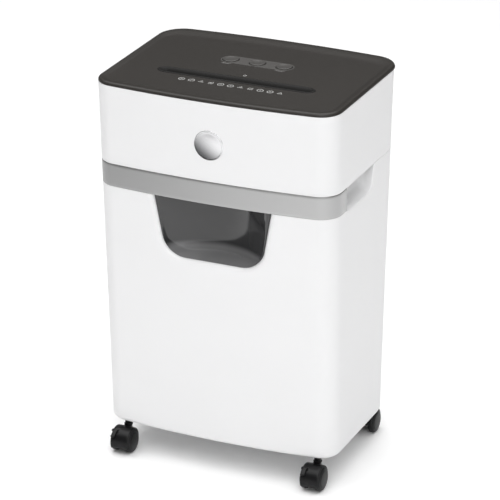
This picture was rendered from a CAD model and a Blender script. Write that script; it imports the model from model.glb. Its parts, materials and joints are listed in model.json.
import json
import math

import bmesh
import bpy
from mathutils import Matrix, Vector


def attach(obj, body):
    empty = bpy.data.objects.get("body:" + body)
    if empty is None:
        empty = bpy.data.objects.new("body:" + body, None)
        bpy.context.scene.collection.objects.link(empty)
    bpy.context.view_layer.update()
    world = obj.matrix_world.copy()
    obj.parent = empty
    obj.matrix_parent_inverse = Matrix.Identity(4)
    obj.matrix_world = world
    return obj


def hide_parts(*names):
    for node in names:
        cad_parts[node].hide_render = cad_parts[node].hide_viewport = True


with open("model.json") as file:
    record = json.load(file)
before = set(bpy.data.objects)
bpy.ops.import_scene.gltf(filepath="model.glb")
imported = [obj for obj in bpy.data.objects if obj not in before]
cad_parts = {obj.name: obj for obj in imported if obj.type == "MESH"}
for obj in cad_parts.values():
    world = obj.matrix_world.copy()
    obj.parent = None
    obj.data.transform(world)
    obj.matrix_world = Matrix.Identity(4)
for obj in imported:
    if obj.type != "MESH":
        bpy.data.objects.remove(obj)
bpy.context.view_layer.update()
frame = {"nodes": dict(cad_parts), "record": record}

MM = 0.001

# ---- Dimensions in millimetres; X to the right, Y to the back, Z up from the floor ----

# Body

BODY_W = 390.0
BODY_D = 291.0
FRONT_BOW = 11.7
REAR_BOW = 10.3
FRONT_R = 30.0
REAR_R = 44.0
LID_REAR_R = 38.0
SIDE_DRAFT = 0.008
END_DRAFT = 0.038
WALL = 2.8
BIN_Z = 49.0
BIN_FILLET = 8.0
BAND_Z = 448.0
BAND_T = 1.5
BAND_END_Y = -81.0
REBATE = BAND_T + 0.1
SEAM_Z = 484.6
SEAM_GAP = 0.3
LID_Z = 610.0
LID_TOP = 615.3
LID_FLOOR = 613.3
EDGE_R = 0.6

# Window, its rolled lip and the scoop behind it
WINDOW_Z = 351.0
WINDOW_R = 38.0
WINDOW_CX = 45.5
WINDOW_CZ = WINDOW_Z + WINDOW_R
WINDOW_LEAN = math.radians(10)
LIP_LOW = 9.0
LIP_HIGH = 11.0
LIP_DEPTH = 9.0
SCOOP_DEPTH = 46.0
SCOOP_RISE = 20.0
SCOOP_FILLET = 6.0
SCOOP_BACK_R = 95.0
SCOOP_CORNER_R = 8.0
SCOOP_SHEET = 2.0
SCOOP_START_BELOW = LIP_DEPTH - 2.0
SCOOP_START_ABOVE = 3.4

# Grip pockets in the sides
GRIP_DEPTH = 20.0
GRIP_Z = 445.0
GRIP_R = 12.0
GRIP_CORNER_Y = 9.0
GRIP_SLANT = 6.0
GRIP_EDGE = 1.6
GRIP_INNER_R = 11.0
GRIP_DIP = 12.0

# Lid, paper mouth and controls
LID_SHEET = 2.4
LID_SIDE_RIM = 4.4
LID_SIDE_RAMP = 14.0
LID_RAMP_R = 26.0
LID_BACK_RIM = 9.0
LID_BACK_RAMP = 24.0
SLOT_Y = -45.2
MOUTH_HALF = 127.0
MOUTH_DEPTH = 22.0
MOUTH_TAPER = 16.0
MOUTH_ROLL = 1.5
MOUTH_LOW = 598.0
MOUTH_SHEET = 1.6
THROAT_HALF = 115.0
THROAT_GAP = 6.0
THROAT_TAPER = 3.0
THROAT_LOW = 552.0
BUTTON_PITCH = 43.8
BUTTON_Y = 34.8
BUTTON_R = 12.3
BUTTON_TOP = LID_Z + 5.2
BUTTON_STEM_LOW = 601.1
BUTTON_DISH = 1.0
PANEL_W = 119.0
PANEL_D = 31.0
PANEL_LOW, PANEL_TOP = LID_FLOOR - 1.0, LID_FLOOR + 0.45
CUT_LOW, CUT_TOP = LID_FLOOR - 8.0, LID_FLOOR + 3.0
SIGN_COUNT = 11
SIGN_PITCH = 15.9
SIGN_X = 3.9
SIGN_Y = -73.0
SIGN_R = 5.0
SIGN_LINE = 0.9
SIGN_BAR = 3.6
RULE_ROWS = ((17.6, 16.0), (15.4, 11.0))
PRINT_LOW, PRINT_TOP = LID_FLOOR - 0.05, LID_FLOOR + 0.06

# Badge on the front; switch, cord gland and vents on the back
BADGE_Z = 543.0
BADGE_R = 21.0
BADGE_RISE = 1.8
BEZEL_W = 2.3
SWITCH_X, SWITCH_Z = -120.0, 545.0
SWITCH_HALF_W, SWITCH_HALF_H = 11.0, 15.0
GLAND_X, GLAND_Z = 130.0, 508.0
GLAND_R = 7.6
VENT_COUNT = 10
VENT_PITCH = 9.0
VENT_Z = BADGE_Z - 4.0
VENT_W, VENT_H = 3.0, 30.0

# Casters; angles are measured around the axle, from the back over the top
CASTER_X = 160.0
CASTER_FRONT_Y = -100.0
CASTER_REAR_Y = 88.0
TRAIL = 15.0
WHEEL_R = 18.5
WHEEL_IN = 6.4
WHEEL_OUT = 18.4
HOOD_HALF = 14.8
HOOD_TOP = 41.0
STEM_R = 5.3
STEM_LOW = 22.0
FENDER_IN = 19.4
FENDER_OUT = 21.4
FENDER_FRONT = 205.0
FENDER_ARCH, FENDER_ARCH_W = 9.0, 6.0
WEB_HALF = 5.8
TAB_X = 10.0
TAB_HALF = 3.0
TAB_PIVOT = (23.2, 125.0)
TAB_ROOT = (20.7, 118.0)
TAB_TIP = (24.8, 150.0)
EAR_T = 1.5
EAR_GAP = 0.3


def smooth_step(t):
    t = min(max(t, 0.0), 1.0)
    return t * t * (3 - 2 * t)


def mix(a, b, t):
    return a + (b - a) * t


def steps(count, ends=True):
    """Fractions from 0 to 1, with or without the two ends."""
    return [i / count for i in (range(count + 1) if ends else range(1, count))]


# ---- Procedural materials ----

def add_node(tree, kind, inputs=None, **settings):
    node = tree.nodes.new(kind)
    for key, value in settings.items():
        setattr(node, key, value)
    for key, value in (inputs or {}).items():
        node.inputs[key].default_value = value
    return node


def moulded(name, colour, roughness, metallic=0.0, shift=0.03, grain=900.0, bump=0.05, streak=None,
            coat=0.0, worn=0.0, fade=None, **sockets):
    """A moulded, painted or machined finish: slow colour drift, a fine grain in roughness and bump.

    fade is (direction, start, end, colour): the tint turns to that colour along the direction, in metres.
    """
    material = bpy.data.materials.new(name)
    material.use_nodes = True
    tree = material.node_tree
    shader = tree.nodes["Principled BSDF"]
    shader.inputs["Metallic"].default_value = metallic
    shader.inputs["Coat Weight"].default_value = coat
    shader.inputs["Coat Roughness"].default_value = 0.12
    for key, value in sockets.items():
        shader.inputs[key.replace("_", " ")].default_value = value
    place = add_node(tree, "ShaderNodeTexCoord")
    stretch = add_node(tree, "ShaderNodeMapping")
    stretch.inputs["Scale"].default_value = streak or (1, 1, 1)
    tree.links.new(place.outputs["Object"], stretch.inputs["Vector"])
    drift = add_node(tree, "ShaderNodeTexNoise", {"Scale": 9.0, "Detail": 3.0, "Roughness": 0.55})
    fine = add_node(tree, "ShaderNodeTexNoise", {"Scale": grain, "Detail": 2.0, "Roughness": 0.6})
    for texture in (drift, fine):
        tree.links.new(stretch.outputs["Vector"], texture.inputs["Vector"])
    ramp = add_node(tree, "ShaderNodeValToRGB")
    ramp.color_ramp.elements[0].position = 0.3
    ramp.color_ramp.elements[1].position = 0.7
    ramp.color_ramp.elements[0].color = (*[c * (1 - shift) for c in colour], 1)
    ramp.color_ramp.elements[1].color = (*[min(c * (1 + shift), 1) for c in colour], 1)
    tree.links.new(drift.outputs["Fac"], ramp.inputs["Fac"])
    tint = ramp.outputs["Color"]
    if fade:
        direction, start, end, far_colour = fade
        along = add_node(tree, "ShaderNodeVectorMath", operation="DOT_PRODUCT")
        along.inputs[1].default_value = direction
        tree.links.new(place.outputs["Object"], along.inputs[0])
        share = add_node(tree, "ShaderNodeMapRange", {"From Min": start, "From Max": end},
                         interpolation_type="SMOOTHSTEP")
        tree.links.new(along.outputs["Value"], share.inputs["Value"])
        turn = add_node(tree, "ShaderNodeMix", data_type="RGBA")
        turn.inputs["B"].default_value = (*far_colour, 1)
        tree.links.new(share.outputs["Result"], turn.inputs["Factor"])
        tree.links.new(tint, turn.inputs["A"])
        tint = turn.outputs["Result"]
    if worn:
        edge = add_node(tree, "ShaderNodeNewGeometry")
        sharp = add_node(tree, "ShaderNodeMapRange", {"From Min": 0.52, "From Max": 0.66, "To Max": worn})
        tree.links.new(edge.outputs["Pointiness"], sharp.inputs["Value"])
        blend = add_node(tree, "ShaderNodeMix", data_type="RGBA")
        blend.inputs["B"].default_value = (*[min(c * 1.6 + 0.05, 1) for c in colour], 1)
        tree.links.new(sharp.outputs["Result"], blend.inputs["Factor"])
        tree.links.new(tint, blend.inputs["A"])
        tint = blend.outputs["Result"]
    tree.links.new(tint, shader.inputs["Base Color"])
    rough = add_node(tree, "ShaderNodeMapRange", {
        "From Min": 0.3, "From Max": 0.7, "To Min": roughness * 0.9, "To Max": min(roughness * 1.12, 1)})
    tree.links.new(fine.outputs["Fac"], rough.inputs["Value"])
    tree.links.new(rough.outputs["Result"], shader.inputs["Roughness"])
    relief = add_node(tree, "ShaderNodeBump", {"Strength": bump, "Distance": 0.0001})
    tree.links.new(fine.outputs["Fac"], relief.inputs["Height"])
    tree.links.new(relief.outputs["Normal"], shader.inputs["Normal"])
    return material


FINISHES = {
    "white_shell": dict(colour=(0.80, 0.80, 0.805), roughness=0.4, shift=0.006, grain=1400, bump=0.04),
    "dark_lid": dict(colour=(0.027, 0.0245, 0.022), roughness=0.42, shift=0.05, grain=1600, bump=0.16,
                     Specular_IOR_Level=0.32),
    "smoked_scoop": dict(colour=(0.03, 0.03, 0.031), roughness=0.08, shift=0.06, grain=700, bump=0.02,
                         coat=0.25,
                         fade=((0, 0, -1), -0.372, -0.36, (0.2, 0.2, 0.202))),
    "silver_band": dict(colour=(0.28, 0.28, 0.28), roughness=0.34, metallic=1.0, shift=0.015, grain=2200,
                        bump=0.05,
                        fade=((0.9, -0.4, 0), -0.16, 0.24, (0.43, 0.43, 0.43))),
    "chrome_badge": dict(colour=(0.085, 0.085, 0.088), roughness=0.22, metallic=1.0, shift=0.02, grain=600,
                         bump=0.01, fade=((0.6, 0, 0.8), 0.412, 0.448, (0.72, 0.72, 0.73))),
    "panel_grey": dict(colour=(0.072, 0.069, 0.066), roughness=0.4, shift=0.04, grain=1500, bump=0.08,
                       Specular_IOR_Level=0.35),
    "button_grey": dict(colour=(0.07, 0.067, 0.064), roughness=0.3, shift=0.04, grain=1500, bump=0.06,
                        Specular_IOR_Level=0.4),
    "black_plastic": dict(colour=(0.012, 0.0115, 0.011), roughness=0.55, shift=0.08, grain=900, bump=0.1,
                          Specular_IOR_Level=0.16),
    "caster_plastic": dict(colour=(0.006, 0.006, 0.0065), roughness=0.34, shift=0.1, grain=1200, bump=0.08,
                           worn=0.25, Specular_IOR_Level=0.22),
    "caster_wheel": dict(colour=(0.007, 0.007, 0.0075), roughness=0.42, shift=0.12, grain=900, bump=0.12,
                         worn=0.2, Specular_IOR_Level=0.25),
    "steel": dict(colour=(0.56, 0.57, 0.58), roughness=0.32, metallic=1.0, shift=0.04, streak=(1, 1, 12),
                  grain=500, bump=0.06),
    "cutter_steel": dict(colour=(0.44, 0.44, 0.45), roughness=0.3, metallic=1.0, shift=0.06,
                         streak=(1, 18, 18), grain=260, bump=0.12, worn=0.4),
    "bronze": dict(colour=(0.5, 0.34, 0.16), roughness=0.34, metallic=1.0, shift=0.08, grain=700, bump=0.08),
    "gear_steel": dict(colour=(0.34, 0.34, 0.35), roughness=0.36, metallic=1.0, shift=0.06, grain=500,
                       bump=0.08, worn=0.5),
    "gear_nylon": dict(colour=(0.72, 0.68, 0.56), roughness=0.4, shift=0.04, grain=800, bump=0.05,
                       Subsurface_Weight=0.15),
    "motor_steel": dict(colour=(0.46, 0.47, 0.48), roughness=0.3, metallic=1.0, shift=0.04, streak=(14, 1, 1),
                        grain=400, bump=0.08),
    "circuit_board": dict(colour=(0.02, 0.13, 0.06), roughness=0.3, shift=0.15, grain=300, bump=0.05,
                          coat=0.3),
    "damper_rubber": dict(colour=(0.02, 0.02, 0.02), roughness=0.75, shift=0.1, grain=700, bump=0.2),
    "print_white": dict(colour=(0.5, 0.5, 0.49), roughness=0.5, shift=0.03, grain=2500, bump=0.03),
    "print_grey": dict(colour=(0.2, 0.195, 0.19), roughness=0.5, shift=0.03, grain=2500, bump=0.03),
}
MATERIALS = {name: moulded(name, **finish) for name, finish in FINISHES.items()}


# ---- Mesh tools ----

class Surface:
    """Grids and single faces in millimetres; points that coincide become one vertex."""

    def __init__(self):
        self.points = []
        self.faces = []

    def grid(self, rows, closed=False):
        start, width = len(self.points), len(rows[0])
        for row in rows:
            self.points.extend(row)
        for r in range(len(rows) - 1):
            for c in range(width if closed else width - 1):
                a, b = start + r * width + c, start + r * width + (c + 1) % width
                self.faces.append((a, b, b + width, a + width))

    def face(self, points):
        start = len(self.points)
        self.points.extend(points)
        self.faces.append(tuple(range(start, start + len(points))))


def add_mesh(name, surface, material, sharp=38):
    mesh = bpy.data.meshes.new(name)
    mesh.from_pydata([tuple(c * MM for c in p) for p in surface.points], [], surface.faces)
    shape = bmesh.new()
    shape.from_mesh(mesh)
    bmesh.ops.remove_doubles(shape, verts=shape.verts, dist=2e-6)
    bmesh.ops.dissolve_degenerate(shape, edges=shape.edges, dist=1e-6)
    shape.to_mesh(mesh)
    shape.free()
    finish_mesh(mesh, sharp)
    obj = bpy.data.objects.new(name, mesh)
    bpy.context.scene.collection.objects.link(obj)
    mesh.materials.append(MATERIALS[material])
    return obj


def finish_mesh(mesh, sharp):
    mesh.polygons.foreach_set("use_smooth", [True] * len(mesh.polygons))
    mesh.set_sharp_from_angle(angle=math.radians(sharp))


def apply_modifiers(obj, sharp=38):
    """Replaces a new piece's mesh by what its modifiers make of it."""
    bpy.context.view_layer.update()
    evaluated = obj.evaluated_get(bpy.context.evaluated_depsgraph_get())
    mesh = bpy.data.meshes.new_from_object(evaluated)
    obj.modifiers.clear()
    obj.data = mesh
    finish_mesh(mesh, sharp)


def thicken(obj, thickness, sharp=38):
    solid = obj.modifiers.new("thickness", "SOLIDIFY")
    solid.thickness = thickness * MM
    solid.offset = -1
    apply_modifiers(obj, sharp)


def soften(obj, width, segments=2, angle=40):
    bevel = obj.modifiers.new("edges", "BEVEL")
    bevel.width = width * MM
    bevel.segments = segments
    bevel.limit_method = "ANGLE"
    bevel.angle_limit = math.radians(angle)
    bevel.harden_normals = True


def cut(obj, cutters, sharp=38):
    for cutter in cutters:
        hole = obj.modifiers.new("hole", "BOOLEAN")
        hole.operation = "DIFFERENCE"
        hole.solver = "EXACT"
        hole.object = cutter
    apply_modifiers(obj, sharp)
    for cutter in cutters:
        bpy.data.objects.remove(cutter)


def place(obj, body, slot, *stands_for):
    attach(obj, body)
    if stands_for:
        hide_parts(*stands_for)
    return obj


def finish_cad_nodes():
    """Every CAD node that no piece stands for gets its slot's finish and small bevels."""
    slots = {part["node"]: part["material_slot"] for part in frame["record"]["subparts"]}
    fine = ("cutter_steel", "gear_steel", "gear_nylon", "bronze")
    for node, obj in frame["nodes"].items():
        if obj.hide_render:
            continue
        obj.data.materials.clear()
        obj.data.materials.append(MATERIALS[slots[node]])
        obj.modifiers.new("weld", "WELD").merge_threshold = 2e-6
        soften(obj, 0.12 if slots[node] in fine else 0.3, 2, 35)


def prism(name, outline, low, high, material="black_plastic"):
    """A closed upright block with the given outline, in millimetres."""
    surface = Surface()
    surface.grid([[(x, y, low) for x, y in outline], [(x, y, high) for x, y in outline]], closed=True)
    surface.face([(x, y, low) for x, y in reversed(outline)])
    surface.face([(x, y, high) for x, y in outline])
    return add_mesh(name, surface, material)


def lathe(name, profile, material, at=Matrix.Identity(4), count=64, sharp=38):
    """A profile of (radius, height) turned around the local Z axis, then set in place."""
    surface = Surface()
    angles = [2 * math.pi * i / count for i in range(count)]
    surface.grid([[tuple(at @ Vector((r * math.cos(a), r * math.sin(a), z))) for a in angles]
                  for r, z in profile], closed=True)
    return add_mesh(name, surface, material, sharp)


def arc(cx, cy, r, start, end, count):
    """Points on a circle from one angle to another, in degrees."""
    return [(cx + r * math.cos(math.radians(mix(start, end, t))),
             cy + r * math.sin(math.radians(mix(start, end, t)))) for t in steps(count)]


def stadium(width, depth, cx=0.0, cy=0.0, count=24):
    """A slot with round ends along its longer side."""
    r = min(width, depth) / 2
    dx, dy = max(width / 2 - r, 0), max(depth / 2 - r, 0)
    if dx >= dy:
        return arc(cx + dx, cy, r, -90, 90, count) + arc(cx - dx, cy, r, 90, 270, count)
    return arc(cx, cy + dy, r, 0, 180, count) + arc(cx, cy - dy, r, 180, 360, count)


# ---- Outline of the body ----

def half_w(z, inset=0.0):
    return BODY_W / 2 - SIDE_DRAFT * (LID_Z - z) - inset


def back_y(z, inset=0.0, x=0.0):
    return BODY_D / 2 - END_DRAFT * (LID_Z - z) - inset - REAR_BOW * (x / half_w(z, inset)) ** 2


def corner_y(z, inset=0.0):
    return -BODY_D / 2 + FRONT_BOW + END_DRAFT * (LID_Z - z) + inset


def front_y(z, x=0.0):
    return corner_y(z) - FRONT_BOW * (1 - (x / half_w(z)) ** 2)


# A column of the outline is (zone, side, t). The right half runs from the middle of the front round to the
# middle of the back; the left half is its mirror image.

FRONT_FIXED = 112.0
SIDE_FIXED = 34.0


def ring_columns(half):
    return [(zone, 1, t) for zone, t in half] + [(zone, -1, t) for zone, t in reversed(half[1:-1])]


def skin_point(column, z, inset=0.0, back_inset=None, rear_r=None):
    """Where a column stands at a height, drawn in from the surface by an inset."""
    zone, side, t = column
    hw, yf = half_w(z, inset), corner_y(z, inset)
    yb = back_y(z, inset if back_inset is None else back_inset)
    rear = max(REAR_R - inset, 2.0) if rear_r is None else rear_r
    front = max(FRONT_R - inset, 2.0)
    side_start, side_end = yf + front, yb - rear - REAR_BOW
    if zone == "front":
        x, y = t * (hw - front), yf
    elif zone == "front_at":
        x, y = t, yf
    elif zone == "front_near":
        x, y = mix(FRONT_FIXED, hw - front, t), yf
    elif zone == "front_corner":
        a = math.radians(90 * t - 90)
        x, y = hw - front + front * math.cos(a), side_start + front * math.sin(a)
    elif zone == "side":
        x, y = hw, mix(side_start, side_end, t)
    elif zone == "side_near":
        x, y = hw, mix(side_start, BAND_END_Y, t)
    elif zone == "side_at":
        x, y = hw, t
    elif zone == "side_far":
        x, y = hw, mix(SIDE_FIXED, side_end, t)
    elif zone == "rear_corner":
        a = math.radians(90 * t)
        x, y = hw - rear + rear * math.cos(a), yb - rear + rear * math.sin(a)
    else:
        x, y = (1 - t) * (hw - rear), yb
    if zone.startswith("front"):
        y -= FRONT_BOW * (1 - (x / hw) ** 2)
    elif zone.startswith("rear"):
        y -= REAR_BOW * (x / hw) ** 2
    return side * x, y


def ring(columns, z, inset=0.0, **extra):
    return [(*skin_point(c, z, inset, **extra), z) for c in columns]


def shrunk(points, factor, cy=0.0):
    return [(x * factor, cy + (y - cy) * factor, z) for x, y, z in points]


PLAIN_HALF = ([("front", t) for t in steps(20)] + [("front_corner", t) for t in steps(10)[1:]]
              + [("side", t) for t in steps(14)[1:]] + [("rear_corner", t) for t in steps(10)[1:]]
              + [("rear", t) for t in steps(12)[1:]])
PLAIN_RING = ring_columns(PLAIN_HALF)


# ---- Window and grip outlines, right half or right side ----

WINDOW_STEPS = steps(6) + [1 + t for t in steps(12)[1:]] + [2 + t for t in steps(8)[1:]]


def window_point(t, grow=0.0, top_z=BAND_Z):
    """Outline of the window: t is 0 at the bottom centre, 1 and 2 at the ends of the corner, 3 at the top."""
    r = WINDOW_R + grow
    if t <= 1:
        return t * WINDOW_CX, WINDOW_Z - grow
    if t <= 2:
        a = mix(-math.pi / 2, -WINDOW_LEAN, t - 1)
        return WINDOW_CX + r * math.cos(a), WINDOW_CZ + r * math.sin(a)
    low_x, low_z = WINDOW_CX + r * math.cos(WINDOW_LEAN), WINDOW_CZ - r * math.sin(WINDOW_LEAN)
    z = mix(low_z, top_z, t - 2)
    return low_x + (z - low_z) * math.tan(WINDOW_LEAN), z


def lip_radius(t):
    return mix(LIP_LOW, LIP_HIGH, smooth_step((t - 1) / 2))


GRIP_FLOOR_Y = [BAND_END_Y + 2 * i for i in range(7)] + [-60 + 11.5 * i for i in range(6)] + [GRIP_CORNER_Y]


def grip_edge(grow):
    """(y, z) along the pocket's edge, from under the band's end, along the floor and up at the rear."""
    corner_z = GRIP_Z + GRIP_R
    floor = [(y, mix(BAND_Z, GRIP_Z - grow, smooth_step((y - BAND_END_Y) / GRIP_DIP))) for y in GRIP_FLOOR_Y]
    turn = arc(GRIP_CORNER_Y, corner_z, GRIP_R + grow, -90, 0, 6)[1:]
    foot = GRIP_CORNER_Y + GRIP_R + grow
    rise = [(foot + GRIP_SLANT * t, mix(corner_z, SEAM_Z, t)) for t in steps(5)[1:]]
    return floor + turn + rise


# ---- Bin ----

def make_bin():
    edge = grip_edge(GRIP_EDGE)
    lip = [window_point(t, lip_radius(t)) for t in WINDOW_STEPS]
    half = ([("front_at", x) for x, _ in lip] + [("front_near", t) for t in steps(6)]
            + [("front_corner", t) for t in steps(10)[1:]] + [("side_near", t) for t in steps(3, ends=False)]
            + [("side_at", y) for y, _ in edge] + [("side_at", SIDE_FIXED)]
            + [("side_far", t) for t in steps(5)[1:]] + [("rear_corner", t) for t in steps(10)[1:]]
            + [("rear", t) for t in steps(12)[1:]])
    columns = ring_columns(half)
    tops = [z for _, z in lip] + [BAND_Z] * (7 + 10 + 2) + [z for _, z in edge]
    tops += [SEAM_Z] * (len(half) - len(tops))
    tops += list(reversed(tops[1:-1]))
    surface = Surface()
    low_z = BIN_Z + BIN_FILLET
    fillet = [(BIN_Z + BIN_FILLET * (1 - math.sin(a)), BIN_FILLET * (1 - math.cos(a)))
              for a in [math.radians(90 - 11.25 * i) for i in range(8)]]
    bottom = ring(columns, *fillet[0])
    caps = [shrunk(bottom, f) for f in (0.12, 0.45, 0.75, 0.93)]
    surface.face(list(reversed(caps[0])))
    walls = [[(*skin_point(c, mix(low_z, top, f)), mix(low_z, top, f)) for c, top in zip(columns, tops)]
             for f in steps(26)]
    surface.grid(caps + [ring(columns, z, i) for z, i in fillet] + walls, closed=True)
    add_window_lip(surface)
    add_grip_pockets(surface)
    behind_band = [c for c in half[:len(lip) + 19]] + [("side_at", BAND_END_Y)]
    behind_band = [(z, -1, t) for z, t in reversed(behind_band[1:])] + [(z, 1, t) for z, t in behind_band]
    surface.grid([ring(behind_band, z, REBATE) for z in (BAND_Z, 460, 472, SEAM_Z)])
    for side in (-1, 1):
        beside = [(z, side, t) for z, t in half[len(lip) - 1:len(lip) + 19] + [("side_at", BAND_END_Y)]]
        ledge = [ring(beside, BAND_Z), ring(beside, BAND_Z, REBATE)]
        surface.grid(ledge if side == 1 else [list(reversed(row)) for row in ledge])
    obj = add_mesh("bin_body", surface, "white_shell", sharp=50)
    thicken(obj, WALL, sharp=50)
    return place(obj, "bin", "white_shell", "bin_shell", "grip_cups")


def mirrored(row):
    return [(-x, y, z) for x, y, z in reversed(row)]


def add_window_lip(surface):
    """The rim that rolls from the front into the window."""
    turns = [math.pi / 2 * t for t in steps(8)]
    rolls = [(1 - math.sin(a), LIP_DEPTH * (1 - math.cos(a))) for a in turns]
    rows = []
    for share, depth in rolls + [(0.0, LIP_DEPTH + 2)]:
        right = []
        for t in WINDOW_STEPS:
            x, z = window_point(t, lip_radius(t) * share)
            right.append((x, front_y(z, x) + depth, z))
        rows.append(mirrored(right)[:-1] + right)
    surface.grid(rows)
    for side in (-1, 1):
        end = [row[-1] if side == 1 else row[0] for row in rows]
        inner_x, outer_x = end[-1][0], end[0][0]
        corner = end + [(inner_x, front_y(BAND_Z, inner_x) + REBATE, BAND_Z),
                        (outer_x, front_y(BAND_Z, outer_x) + REBATE, BAND_Z)]
        surface.face(corner if side == -1 else list(reversed(corner)))


def add_grip_pockets(surface):
    """The scooped pockets in both side walls, under the head's edge."""
    outer = [(BAND_END_Y + 0.1, mix(SEAM_Z, BAND_Z, t)) for t in steps(4)[:-1]]
    front_count = len(outer)
    r = GRIP_INNER_R
    inner_z, inner_y = GRIP_Z + r, BAND_END_Y + r
    inner = [(inner_y, mix(SEAM_Z, inner_z + 2, t)) for t in steps(4)[:-1]]
    flat = grip_edge(0.0)
    inner += [(inner_y + max(0.0, y - inner_y), inner_z + 2 * (1 - smooth_step((y - BAND_END_Y) / GRIP_DIP)))
              for y, _ in flat[:7]]
    inner += grip_edge(-r)[7:]
    outer += flat
    rows = []
    for a in [math.radians(90 * t) for t in steps(5)]:
        grown = grip_edge(GRIP_EDGE * (1 - math.sin(a)))
        depth = GRIP_EDGE * (1 - math.cos(a))
        rows.append([(y, z, max(depth, REBATE)) for y, z in outer[:front_count]]
                    + [(y, z, depth) for y, z in grown])
    for a in [math.radians(90 * t) for t in steps(7)]:
        depth = GRIP_DEPTH - r + r * math.sin(a)
        rows.append([(mix(iy, oy, math.cos(a)), mix(iz, oz, math.cos(a)), depth)
                     for (iy, iz), (oy, oz) in zip(inner, outer)])
    for side in (-1, 1):
        placed = [[(side * (half_w(z) - depth), y, z) for y, z, depth in row] for row in rows]
        if side == -1:
            placed = [list(reversed(row)) for row in placed]
        surface.grid(placed)
        surface.face(placed[-1])


def scoop_outline():
    """Right half of the scoop's mouth as (x, z), from the bottom centre to the middle of the roof."""
    top_z, top_r = BAND_Z + SCOOP_RISE - SCOOP_SHEET, SCOOP_CORNER_R
    side = [window_point(t, 0.0, top_z - top_r) for t in WINDOW_STEPS]
    x, z = side[-1]
    turn = arc(x - top_r, z, top_r, 0, 90, 6)[1:]
    return side + turn + [((x - top_r) * (1 - t), top_z) for t in steps(6)[1:]]


def make_scoop():
    """A glossy recess with steep walls, a fillet all round and a hollow, curved back."""
    mouth = scoop_outline()
    middle_z = (mouth[0][1] + mouth[-1][1]) / 2
    half = max(x for x, _ in mouth)
    loops = [(1 - SCOOP_FILLET * (1 - math.cos(a)) / half, math.sin(a))
             for a in (math.pi / 2 * t for t in steps(16))]
    loops += [(loops[-1][0] * f, 1.0) for f in (0.92, 0.8, 0.65, 0.5, 0.35, 0.2, 0.08)]
    rows = []
    for scale, sink in loops:
        right = []
        for x0, z0 in mouth:
            x, z = x0 * scale, middle_z + (z0 - middle_z) * scale
            depth = (SCOOP_DEPTH - x ** 2 / (2 * SCOOP_BACK_R)) * sink
            start = SCOOP_START_ABOVE if z0 > BAND_Z + SCOOP_SHEET else SCOOP_START_BELOW
            right.append((x, front_y(min(z, BAND_Z)) + max(depth, start), z))
        rows.append(right + mirrored(right)[1:-1])
    surface = Surface()
    surface.grid(rows, closed=True)
    surface.face(rows[-1])
    obj = add_mesh("scoop_liner", surface, "smoked_scoop", sharp=60)
    thicken(obj, SCOOP_SHEET, sharp=60)
    return place(obj, "bin", "smoked_scoop", "window_scoop")


def make_band():
    half = ([("front", t) for t in steps(28)] + [("front_corner", t) for t in steps(12)[1:]]
            + [("side_near", t) for t in steps(4)[1:]])
    columns = [(z, -1, t) for z, t in reversed(half[1:])] + [(z, 1, t) for z, t in half]
    low, high, r = BAND_Z + 0.15, SEAM_Z - 0.1, 0.5
    section = [(low, BAND_T), (low, r), (low + 0.15, 0.15), (low + r, 0.0)]
    section += [(mix(low + r, high - r, t), 0.0) for t in steps(8, ends=False)]
    section += [(high - r, 0.0), (high - 0.15, 0.15), (high, r), (high, BAND_T)]
    surface = Surface()
    rows = [ring(columns, z, inset) for z, inset in section]
    surface.grid(rows + [rows[0]])
    surface.face([row[0] for row in rows])
    surface.face([row[-1] for row in reversed(rows)])
    obj = add_mesh("silver_band", surface, "silver_band", sharp=60)
    return place(obj, "bin", "silver_band", "trim_band")


# ---- Head casing ----

def make_head():
    low, high = SEAM_Z + SEAM_GAP, LID_Z - 0.2
    section = [(low, EDGE_R), (low + 0.18, 0.18), (low + EDGE_R, 0.0)]
    section += [(mix(low + EDGE_R, high - 0.5, t), 0.0) for t in steps(12, ends=False)]
    section += [(high - 0.5, 0.0), (high - 0.14, 0.14), (high, 0.5)]
    surface = Surface()
    surface.grid([ring(PLAIN_RING, z, inset) for z, inset in section], closed=True)
    obj = add_mesh("head_body", surface, "white_shell")
    thicken(obj, WALL)
    openings = [(stadium(VENT_W, VENT_H, VENT_PITCH * (i - (VENT_COUNT - 1) / 2), 0, 8), 0.5, VENT_Z)
                for i in range(VENT_COUNT)]
    corners = [(-1, -1), (1, -1), (1, 1), (-1, 1)]
    openings.append(([(SWITCH_HALF_W * u, SWITCH_HALF_H * v) for u, v in corners], SWITCH_X, SWITCH_Z))
    openings.append((arc(0, 0, GLAND_R, 0, 360, 40)[:-1], GLAND_X, GLAND_Z))
    cutters = []
    for outline, x, z in openings:
        cutters.append(prism("opening", outline, -10, 10))
        cutters[-1].matrix_world = back_frame(x, z)
    cut(obj, cutters)
    return place(obj, "head", "white_shell", "head_shell")


def back_frame(x, z):
    """A frame on the back wall: local Z points out of the wall and local Y points up."""
    turn = math.atan(-2 * REAR_BOW * x / half_w(z) ** 2)
    lean = Matrix.Rotation(turn, 3, "Z") @ Matrix.Rotation(-math.atan(END_DRAFT), 3, "X")
    out, up = lean @ Vector((0, 1, 0)), lean @ Vector((0, 0, 1))
    right = up.cross(out)
    axes = Matrix((right, up, out)).transposed().to_4x4()
    return Matrix.Translation(Vector((x, back_y(z, 0, x), z)) * MM) @ axes


# ---- Lid, mouth and controls ----

def mouth_outline(half, depth, taper, grow=0.0, count=9):
    """A long slot whose ends taper to a rounded point."""
    reach, r = half - taper, depth / 2 + grow
    tip = []
    for i in range(-count, count + 1):
        share = abs(i) / count
        x = reach + (taper + grow) * math.cos(share * math.pi / 2) ** 0.8
        tip.append((x, SLOT_Y + math.copysign(r * math.sin(share * math.pi / 2) ** 1.3, i)))
    return tip + [(-x, 2 * SLOT_Y - y) for x, y in tip]


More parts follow.
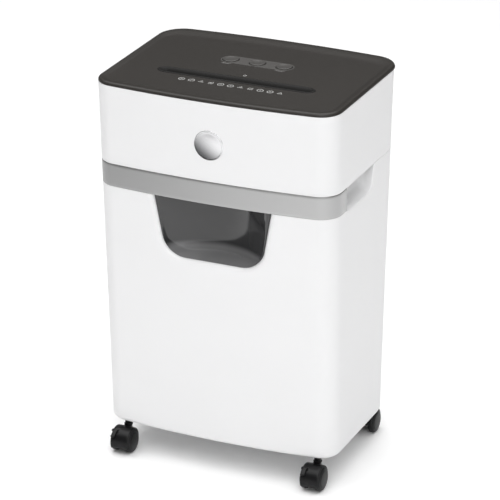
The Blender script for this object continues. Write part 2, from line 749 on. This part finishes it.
def make_lid():
    """A thin sheet with a rounded rim, sunk inside it, with openings for the mouth, panel and buttons."""
    rim = [(-1.5, 3.2), (-0.1, 3.2), (-0.1, 0.9), (0.15, 0.3), (0.6, 0.0),
           (1.6, 0.1), (2.9, 0.55), (4.0, 1.2), (4.8, 2.1), (5.2, 3.2)]
    surface = Surface()
    rows = [ring(PLAIN_RING, LID_Z + rise, inset, rear_r=LID_REAR_R - inset) for rise, inset in rim]
    for share in steps(10):
        z = mix(LID_TOP, LID_FLOOR, smooth_step(share))
        side = mix(LID_SIDE_RIM, LID_SIDE_RAMP, share)
        back = mix(LID_BACK_RIM, LID_BACK_RIM + LID_BACK_RAMP, share)
        rear_r = mix(LID_REAR_R - 6.0, LID_RAMP_R, share)
        rows.append(ring(PLAIN_RING, z, side, back_inset=back, rear_r=rear_r))
    cy = (rows[-1][0][1] + back_y(LID_FLOOR, LID_BACK_RIM)) / 2
    rows += [shrunk(rows[-1], f, cy) for f in (0.97, 0.9, 0.7, 0.4, 0.1)]
    surface.grid(rows, closed=True)
    surface.face(rows[-1])
    obj = add_mesh("lid", surface, "dark_lid")
    thicken(obj, LID_SHEET)
    recess = stadium(PANEL_W + 0.6, PANEL_D + 0.6, 0, BUTTON_Y)
    cutters = [prism("mouth_opening", mouth_outline(MOUTH_HALF, MOUTH_DEPTH, MOUTH_TAPER), CUT_LOW, CUT_TOP),
               prism("panel_recess", recess, PANEL_LOW, CUT_TOP)]
    for i in (-1, 0, 1):
        hole = arc(i * BUTTON_PITCH, BUTTON_Y, BUTTON_R + 0.9, 0, 360, 48)[:-1]
        cutters.append(prism("button_hole", hole, CUT_LOW, CUT_TOP))
    cut(obj, cutters)
    soften(obj, 0.35, 2, 50)
    return place(obj, "head", "dark_lid", "top_cover")


def make_mouth():
    """The dished mouth around the slot, and the throat below it."""
    rim = ((0.7, 0.0), (0.4, 0.3), (0.4, 0.8), (0.8, MOUTH_ROLL))
    rows = [[(x, y, LID_FLOOR - sink) for x, y in mouth_outline(MOUTH_HALF, MOUTH_DEPTH, MOUTH_TAPER, -inset)]
            for sink, inset in rim]
    start = mouth_outline(MOUTH_HALF, MOUTH_DEPTH, MOUTH_TAPER, -MOUTH_ROLL)
    end = mouth_outline(THROAT_HALF, THROAT_GAP, THROAT_TAPER)
    for share in steps(8, ends=False) + [1.0]:
        z = mix(LID_FLOOR - 0.9, MOUTH_LOW, share ** 1.2)
        across = share ** 0.8
        rows.append([(mix(ax, bx, across), mix(ay, by, across), z) for (ax, ay), (bx, by) in zip(start, end)])
    rows += [[(x, y, z) for x, y in end] for z in (592.0, 575.0, THROAT_LOW)]
    surface = Surface()
    surface.grid([list(reversed(row)) for row in reversed(rows)], closed=True)
    obj = add_mesh("paper_mouth", surface, "black_plastic")
    thicken(obj, -MOUTH_SHEET)
    return place(obj, "head", "black_plastic", "paper_throat")


def make_panel():
    obj = prism("button_panel", stadium(PANEL_W, PANEL_D, 0, BUTTON_Y), PANEL_LOW, PANEL_TOP, "panel_grey")
    holes = [prism("button_hole", arc(i * BUTTON_PITCH, BUTTON_Y, BUTTON_R + 1.0, 0, 360, 64)[:-1],
                   CUT_LOW, CUT_TOP) for i in (-1, 0, 1)]
    cut(obj, holes)
    soften(obj, 0.3, 3, 50)
    return place(obj, "head", "panel_grey", "control_panel")


def make_buttons():
    """Dished caps with a rounded rim, each on its stem above the control board."""
    top, dish_r = BUTTON_TOP, BUTTON_R - 2.0
    profile = [(0, BUTTON_STEM_LOW), (3, BUTTON_STEM_LOW), (3, 606.6), (3.4, 607.0), (14.0, 607.0),
               (14.2, 607.2), (14.2, 610.3), (14.0, 610.5), (BUTTON_R, 610.5), (BUTTON_R, top - 0.9),
               (BUTTON_R - 0.2, top - 0.35), (BUTTON_R - 0.7, top - 0.06), (BUTTON_R - 1.3, top)]
    profile += [(r, top - 0.12 - BUTTON_DISH * (1 - (r / dish_r) ** 2))
                for r in (dish_r, 9.3, 8.0, 6.4, 4.6, 2.6, 1.0, 0.0)]
    for name, i in (("reverse", -1), ("power", 0), ("forward", 1)):
        at = Matrix.Translation((i * BUTTON_PITCH, BUTTON_Y, 0))
        cap = lathe(f"{name}_cap", profile, "button_grey", at)
        place(cap, f"{name}_button", "button_grey", f"{name}_button")


def add_line_loop(surface, outer, inner, low, high):
    """A flat closed line between two loops of equally many points."""
    loops = ((outer, low), (outer, high), (inner, high), (inner, low), (outer, low))
    surface.grid([[(x, y, z) for x, y in loop] for loop, z in loops], closed=True)


def add_bar(surface, x, y, width, depth, low, high, turn=0.0):
    """A flat rectangle around a centre, turned by an angle."""
    c, s = math.cos(turn), math.sin(turn)
    corners = [(-1, -1), (1, -1), (1, 1), (-1, 1)]
    halves = [(width / 2 * u, depth / 2 * v) for u, v in corners]
    loop = [(x + c * u - s * v, y + s * u + c * v) for u, v in halves]
    surface.grid([[(u, v, z) for u, v in loop] for z in (low, high)], closed=True)
    surface.face([(u, v, high) for u, v in loop])
    surface.face([(u, v, low) for u, v in reversed(loop)])


def make_prints():
    """Flat plain symbols: a row by the lid's front edge, rules by the outer buttons, a ring by the slot."""
    ring_sign, triangle_sign, square_sign = (24, 0), (3, 90), (4, 45)
    order = (ring_sign, ring_sign, triangle_sign, square_sign)
    signs = Surface()
    for i in range(SIGN_COUNT):
        x = SIGN_X + SIGN_PITCH * (i - (SIGN_COUNT - 1) / 2)
        count, start = order[i % len(order)]
        outer, inner = (arc(x, SIGN_Y, r, start, start + 360, count)[:-1]
                        for r in (SIGN_R, SIGN_R - SIGN_LINE))
        add_line_loop(signs, outer, inner, PRINT_LOW, PRINT_TOP)
        add_bar(signs, x, SIGN_Y, SIGN_BAR, SIGN_LINE, PRINT_LOW, PRINT_TOP, math.radians(45 * (i % 3)))
    outer, inner = (arc(5.0, -23.0, r, 0, 360, 20)[:-1] for r in (2.6, 1.8))
    add_line_loop(signs, outer, inner, PRINT_LOW, PRINT_TOP)
    place(add_mesh("lid_signs", signs, "print_white"), "head", "button_grey")
    rules = Surface()
    for x in (-BUTTON_PITCH, BUTTON_PITCH):
        for y, width in RULE_ROWS:
            add_bar(rules, x, y, width, SIGN_LINE, PRINT_LOW, PRINT_TOP)
    place(add_mesh("lid_rules", rules, "print_grey"), "head", "button_grey")


def make_badge():
    """A plain domed disc in a thin raised ring, on the head's bowed front."""
    dome_r = (BADGE_R ** 2 + BADGE_RISE ** 2) / (2 * BADGE_RISE)
    profile = [(0, -0.7), (BADGE_R, -0.7), (BADGE_R, 0.05), (BADGE_R - 0.12, 0.22), (BADGE_R - 0.4, 0.3)]
    for i in range(1, 17):
        r = (BADGE_R - 0.8) * (1 - i / 16) if i < 16 else 0.0
        profile.append((r, math.sqrt(dome_r ** 2 - r ** 2) - dome_r + BADGE_RISE - 0.2))
    tilt = Matrix.Rotation(math.atan(END_DRAFT), 4, "X") @ Matrix.Rotation(math.pi / 2, 4, "X")
    at = Matrix.Translation((0, front_y(BADGE_Z), BADGE_Z)) @ tilt
    badge = lathe("badge_dome", profile, "chrome_badge", at, 96)
    place(badge, "head", "chrome_badge", "badge")
    inner_r, outer_r = BADGE_R + 0.1, BADGE_R + 0.1 + BEZEL_W
    section = [(inner_r, -0.5), (outer_r, -0.5), (outer_r, 0.1), (outer_r - 0.15, 0.35), (outer_r - 0.5, 0.5),
               (outer_r - 1.2, 0.55), (inner_r + 0.4, 0.45), (inner_r + 0.1, 0.25), (inner_r, -0.5)]
    place(lathe("badge_bezel", section, "chrome_badge", at, 96), "head", "chrome_badge")


# ---- Casters, drawn around the swivel axis with the axle towards -Y; the rear pair is turned round ----

def polar(r, degrees):
    a = math.radians(degrees)
    return -TRAIL + r * math.cos(a), WHEEL_R + r * math.sin(a)


def add_plate(surface, outline, x0, x1, edge=0.4):
    """A plate between two X positions, drawn counter-clockwise in the Y-Z plane, with chamfered edges."""
    cy, cz = (sum(p[i] for p in outline) / len(outline) for i in (0, 1))
    size = sum(math.hypot(y - cy, z - cz) for y, z in outline) / len(outline)
    rows = []
    for x, f in ((x0, 1 - edge / size), (x0 + edge, 1), (x1 - edge, 1), (x1, 1 - edge / size)):
        rows.append([(x, cy + (y - cy) * f, cz + (z - cz) * f) for y, z in outline])
    surface.grid(rows, closed=True)
    surface.face(list(reversed(rows[0])))
    surface.face(rows[-1])


def link_outline(p, q, r, count=8):
    """Counter-clockwise outline of two equal circles and the bar between them."""
    along = math.degrees(math.atan2(q[1] - p[1], q[0] - p[0]))
    return arc(*q, r, along - 90, along + 90, count) + arc(*p, r, along + 90, along + 270, count)


def add_fender(surface):
    """The shell with rounded shoulders over both wheels; its front edge arches up between them."""
    shoulder = [(HOOD_HALF - 0.1, FENDER_IN), (HOOD_HALF, FENDER_IN + 0.5),
                (HOOD_HALF - 0.15, FENDER_IN + 1.1), (HOOD_HALF - 0.9, FENDER_OUT - 0.35),
                (HOOD_HALF - 2.0, FENDER_OUT - 0.05), (HOOD_HALF - 5.0, FENDER_OUT)]
    section = shoulder + [(3.0, FENDER_OUT), (-3.0, FENDER_OUT)] + [(-x, r) for x, r in reversed(shoulder)]
    section += [(-HOOD_HALF / 2, FENDER_IN), (-3.0, FENDER_IN), (3.0, FENDER_IN), (HOOD_HALF / 2, FENDER_IN)]
    middle = (FENDER_IN + FENDER_OUT) / 2
    turns = [FENDER_FRONT * t for t in steps(44)]
    rows = []
    for i, degrees in enumerate(turns):
        thin = (0.55, 0.85, 1.0)[min(i, len(turns) - 1 - i, 2)]
        front = smooth_step((degrees - 150) / (FENDER_FRONT - 150))
        row = []
        for x, r in section:
            arch = FENDER_ARCH * math.exp(-(x / FENDER_ARCH_W) ** 2) * front
            row.append((x, *polar(mix(middle, r, thin), degrees - arch)))
        rows.append(row)
    surface.grid(rows, closed=True)
    surface.face(list(reversed(rows[0])))
    surface.face(rows[-1])


def make_hood(corner, cx, cy, turn, tab_side):
    """The fender, the web between the wheels, the stem's collar and the ears that hold the brake tab.

    turn is -1 for a caster that trails the other way; tab_side is 0 where there is no tab.
    """
    surface = Surface()
    add_fender(surface)
    add_plate(surface, link_outline((-TRAIL, WHEEL_R), (-4.0, 30.6), 7.6), -WEB_HALF, WEB_HALF, 0.5)
    collar = [(0.0, 20.0), (WEB_HALF - 0.8, 20.0), (WEB_HALF, 20.8), (WEB_HALF, HOOD_TOP - 3.6),
              (6.5, HOOD_TOP - 2.4), (6.8, HOOD_TOP - 1.4), (6.7, HOOD_TOP - 0.5), (6.3, HOOD_TOP - 0.1),
              (5.9, HOOD_TOP), (0.0, HOOD_TOP)]
    angles = [2 * math.pi * i / 40 for i in range(40)]
    surface.grid([[(r * math.cos(a), r * math.sin(a), z) for a in angles] for r, z in collar], closed=True)
    if tab_side:
        pivot, root = polar(*TAB_PIVOT), polar(*TAB_ROOT)
        for x in (TAB_X - TAB_HALF - EAR_GAP - EAR_T, TAB_X + TAB_HALF + EAR_GAP):
            x0, x1 = sorted((tab_side * x, tab_side * (x + EAR_T)))
            add_plate(surface, link_outline(pivot, root, 1.9), x0, x1, 0.3)
    surface.points = [(cx + turn * x, cy + turn * y, z) for x, y, z in surface.points]
    hood = add_mesh(f"{corner}_fender", surface, "caster_plastic", sharp=45)
    place(hood, f"{corner}_caster", "caster_plastic", f"{corner}_hood")


def make_wheel(corner, side, cx, cy):
    """A twin-caster wheel: tread with a soft edge, then a domed outer disc with a shallow ring in it."""
    profile = [(2.55, WHEEL_IN + 0.3), (5.0, WHEEL_IN + 0.3), (5.6, WHEEL_IN), (WHEEL_R - 3.0, WHEEL_IN),
               (WHEEL_R - 1.4, WHEEL_IN + 0.7), (WHEEL_R - 0.4, WHEEL_IN + 1.8), (WHEEL_R, WHEEL_IN + 3.0),
               (WHEEL_R, WHEEL_OUT - 4.4), (WHEEL_R - 0.25, WHEEL_OUT - 3.5),
               (WHEEL_R - 0.9, WHEEL_OUT - 2.6), (WHEEL_R - 1.9, WHEEL_OUT - 1.9),
               (WHEEL_R - 3.1, WHEEL_OUT - 1.35), (WHEEL_R - 3.3, WHEEL_OUT - 1.55),
               (WHEEL_R - 3.7, WHEEL_OUT - 1.55), (WHEEL_R - 3.9, WHEEL_OUT - 1.2),
               (WHEEL_R - 6.0, WHEEL_OUT - 0.7),
               (9.5, WHEEL_OUT - 0.35), (6.0, WHEEL_OUT - 0.12), (3.0, WHEEL_OUT - 0.02), (0.0, WHEEL_OUT)]
    tilt = Matrix.Rotation(math.pi / 2 * side, 4, "Y")
    at = Matrix.Translation((cx, cy, WHEEL_R)) @ tilt
    name = f"{corner}_wheel_{'right' if side == 1 else 'left'}"
    wheel = lathe(f"{name}_tyre", profile, "caster_wheel", at, 72, sharp=50)
    place(wheel, name, "caster_wheel", name)


def make_brake(corner, cx, cy, side):
    """A tab with a rolled lip, on its pin between the hood's ears."""
    surface = Surface()
    pivot, tip = polar(*TAB_PIVOT), polar(*TAB_TIP)
    low, high = sorted((side * (TAB_X - TAB_HALF), side * (TAB_X + TAB_HALF)))
    add_plate(surface, link_outline(pivot, tip, 1.0), low, high, 0.3)
    add_plate(surface, link_outline(tip, (tip[0] - 1.2, tip[1] + 0.9), 1.2), low, high, 0.4)
    pin = arc(*pivot, 0.9, 0, 360, 16)[:-1]
    add_plate(surface, pin, side * TAB_X - TAB_HALF - 1.9, side * TAB_X + TAB_HALF + 1.9, 0.2)
    surface.points = [(cx + x, cy + y, z) for x, y, z in surface.points]
    tab = add_mesh(f"{corner}_brake_tab", surface, "caster_plastic", sharp=45)
    place(tab, f"{corner}_brake", "caster_plastic", f"{corner}_brake")


def make_stems(centres):
    """Black swivel stems, each with a thin flange under the bin."""
    profile = [(0.0, STEM_LOW), (3.3, STEM_LOW), (3.5, STEM_LOW + 0.3), (3.5, HOOD_TOP + 0.3),
               (5.0, HOOD_TOP + 0.3),
               (STEM_R, HOOD_TOP + 0.6), (STEM_R, BIN_Z - 1.6), (5.8, BIN_Z - 1.35), (7.4, BIN_Z - 1.2),
               (7.7, BIN_Z - 0.9), (7.8, BIN_Z - 0.5), (7.6, BIN_Z - 0.15), (STEM_R, BIN_Z - 0.1),
               (STEM_R, BIN_Z + 30.0), (0.0, BIN_Z + 30.0)]
    angles = [2 * math.pi * i / 40 for i in range(40)]
    surface = Surface()
    for cx, cy in centres:
        surface.grid([[(cx + r * math.cos(a), cy + r * math.sin(a), z) for a in angles] for r, z in profile],
                     closed=True)
    place(add_mesh("swivel_stems", surface, "caster_plastic"), "bin", "caster_plastic", "caster_stems")


def make_casters():
    tab_side = -1
    centres = []
    for corner in ("front_left", "front_right", "rear_left", "rear_right"):
        side = 1 if corner.endswith("right") else -1
        front = corner.startswith("front")
        cx, cy = side * CASTER_X, CASTER_FRONT_Y if front else CASTER_REAR_Y
        turn = 1 if front else -1
        centres.append((cx, cy))
        make_hood(corner, cx, cy, turn, tab_side if front else 0)
        if front:
            make_brake(corner, cx, cy, tab_side)
        for wheel_side in (-1, 1):
            make_wheel(corner, wheel_side, cx, cy - turn * TRAIL)
    make_stems(centres)


make_bin()
make_scoop()
make_band()
make_head()
make_lid()
make_mouth()
make_panel()
make_buttons()
make_prints()
make_badge()
make_casters()
finish_cad_nodes()

# ---- Camera, floor and light ----

camera_data = bpy.data.cameras.new("camera")
camera_data.sensor_width = 36
camera_data.lens = 216
camera = bpy.data.objects.new("camera", camera_data)
bpy.context.scene.collection.objects.link(camera)
camera.location = (1.718, -3.871, 2.115)
camera.rotation_euler = (-Vector((0.3730, -0.8419, 0.3899))).to_track_quat("-Z", "Y").to_euler()
bpy.context.scene.camera = camera

world = bpy.data.worlds.new("studio")
bpy.context.scene.world = world
world.use_nodes = True
sky = world.node_tree
facing = add_node(sky, "ShaderNodeTexCoord")
towards = add_node(sky, "ShaderNodeVectorMath", operation="DOT_PRODUCT")
towards.inputs[1].default_value = Vector((0.34, -0.66, 0.66)).normalized()
glow = add_node(sky, "ShaderNodeMapRange", {
    "From Min": -0.7, "From Max": 1.0, "To Min": 0.52, "To Max": 2.38})
sky.links.new(facing.outputs["Generated"], towards.inputs[0])
sky.links.new(towards.outputs["Value"], glow.inputs["Value"])
sky.links.new(glow.outputs["Result"], sky.nodes["Background"].inputs["Strength"])
bpy.context.scene.view_settings.view_transform = "Standard"

floor_mesh = bpy.data.meshes.new("floor")
floor_mesh.from_pydata([(-6, -6, 0), (6, -6, 0), (6, 6, 0), (-6, 6, 0)], [], [(0, 1, 2, 3)])
floor = bpy.data.objects.new("floor", floor_mesh)
bpy.context.scene.collection.objects.link(floor)
floor_mesh.materials.append(moulded("floor_paint", (0.96, 0.96, 0.96), 0.8, shift=0.003, bump=0.01))


def add_softbox(name, power, size, at, aim):
    lamp = bpy.data.lights.new(name, "AREA")
    lamp.energy = power
    lamp.size = size
    obj = bpy.data.objects.new(name, lamp)
    bpy.context.scene.collection.objects.link(obj)
    obj.location = at
    obj.rotation_euler = (Vector(aim) - Vector(at)).to_track_quat("-Z", "Y").to_euler()


add_softbox("overhead", 320, 6.0, (-0.4, 0.1, 4.1), (-0.2, 0.4, 0.0))
add_softbox("key", 58, 2.6, (1.9, -2.7, 2.3), (0.0, 0.0, 0.35))
